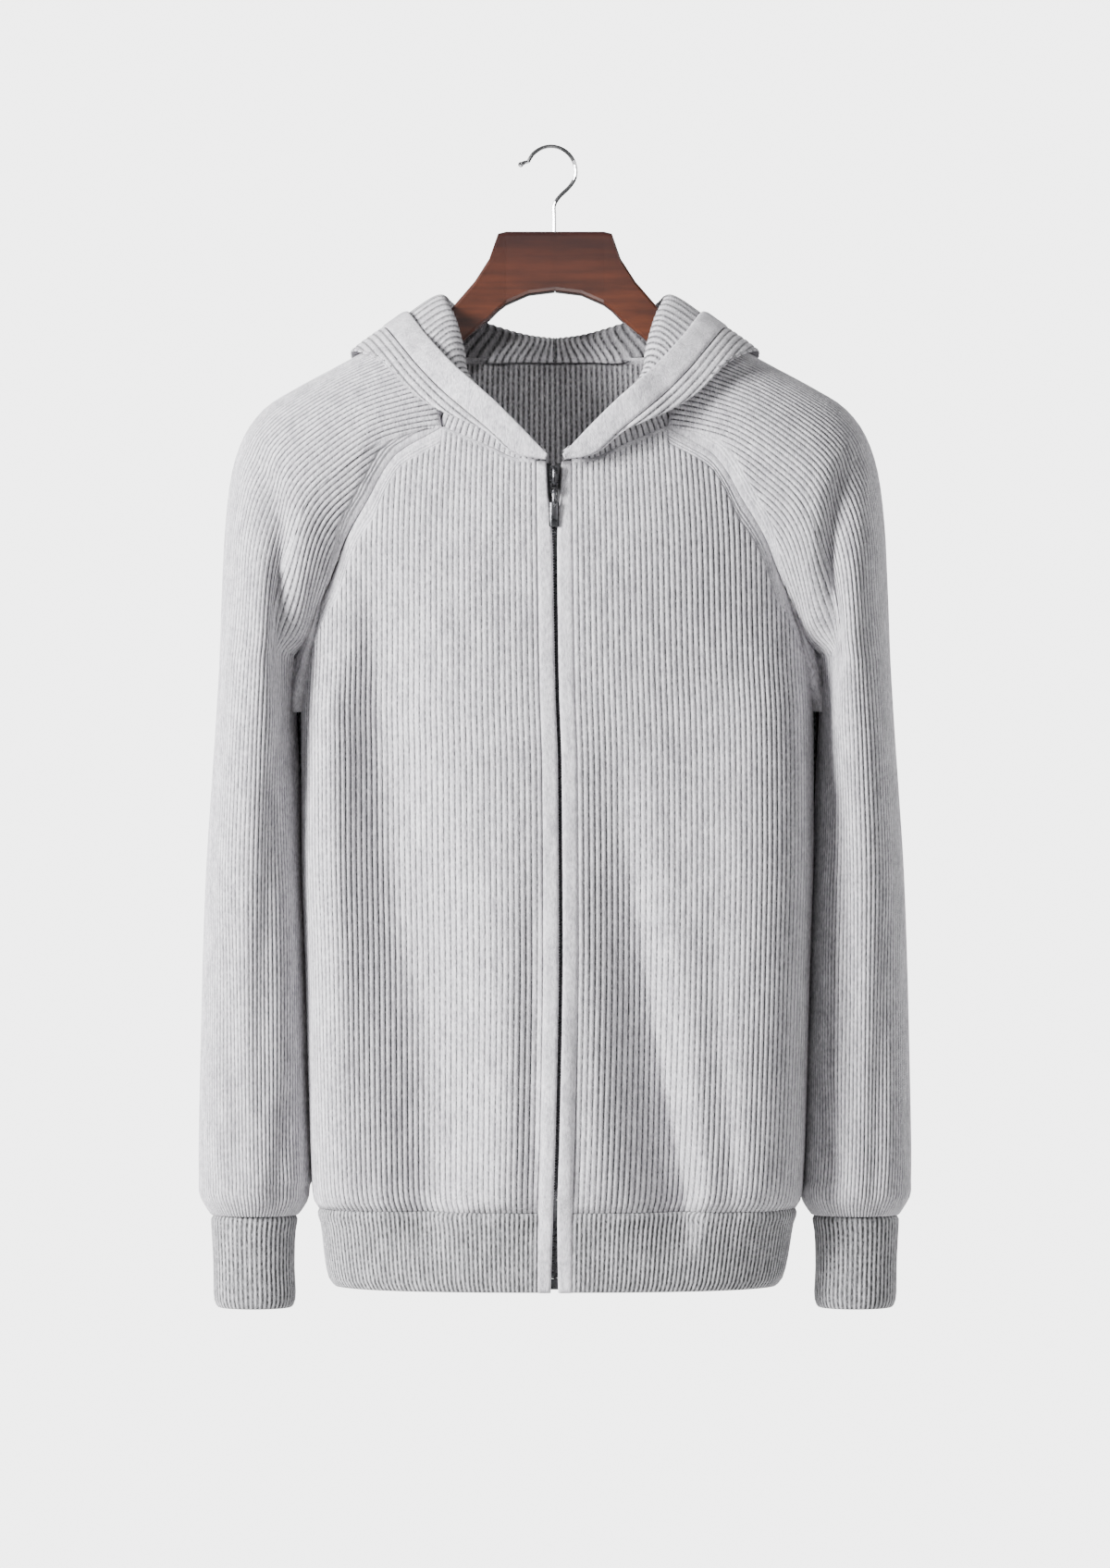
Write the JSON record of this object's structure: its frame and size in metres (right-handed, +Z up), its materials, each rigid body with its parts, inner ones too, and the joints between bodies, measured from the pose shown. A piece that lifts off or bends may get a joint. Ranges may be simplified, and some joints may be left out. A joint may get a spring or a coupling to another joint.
{
  "type": "zip-up hoodie on a wooden hanger",
  "caption": "Zip-up hoodie in ribbed knit with raglan sleeves, a lowered hood, a full front zip and ribbed hem and cuffs, hanging from a lacquered wooden hanger.",
  "frame": {"origin": "inside top of the hook's arc, where a rail carries the hanger", "axes": "+Z up, -Y out of the zipped front, +X to the right seen from the front"},
  "size_m": [0.5408, 0.2195, 0.8838],
  "materials": {
    "knit": "light grey heathered rib knit",
    "zip_tape": "woven black tape",
    "zip_metal": "gunmetal",
    "wood": "dark red-brown gloss lacquer",
    "hook_steel": "polished"
  },
  "bodies": {
    "garment": {"front_left": "knit", "front_right": "knit", "back": "knit", "hem_rib": "knit", "sleeve_left": "knit", "sleeve_right": "knit", "cuff_left": "knit", "cuff_right": "knit", "placket_left": "knit", "placket_right": "knit", "hood_left": "knit", "hood_right": "knit", "hood_band": "knit", "zip_tape_left": "zip_tape", "zip_tape_right": "zip_tape", "zip_chain": "zip_metal", "zip_slider": "zip_metal", "hanger_left": "wood", "hanger_right": "wood", "hanger_hook": "hook_steel"},
    "pull": {"zip_pull": "zip_metal"}
  },
  "joints": [
    {"name": "zip_pull_hinge", "type": "hinge", "parent": "garment", "child": "pull", "pos_m": [-0.0007, -0.0866, -0.2644], "axis": [-1, 0, 0], "range_deg": [0, 140]}
  ]
}
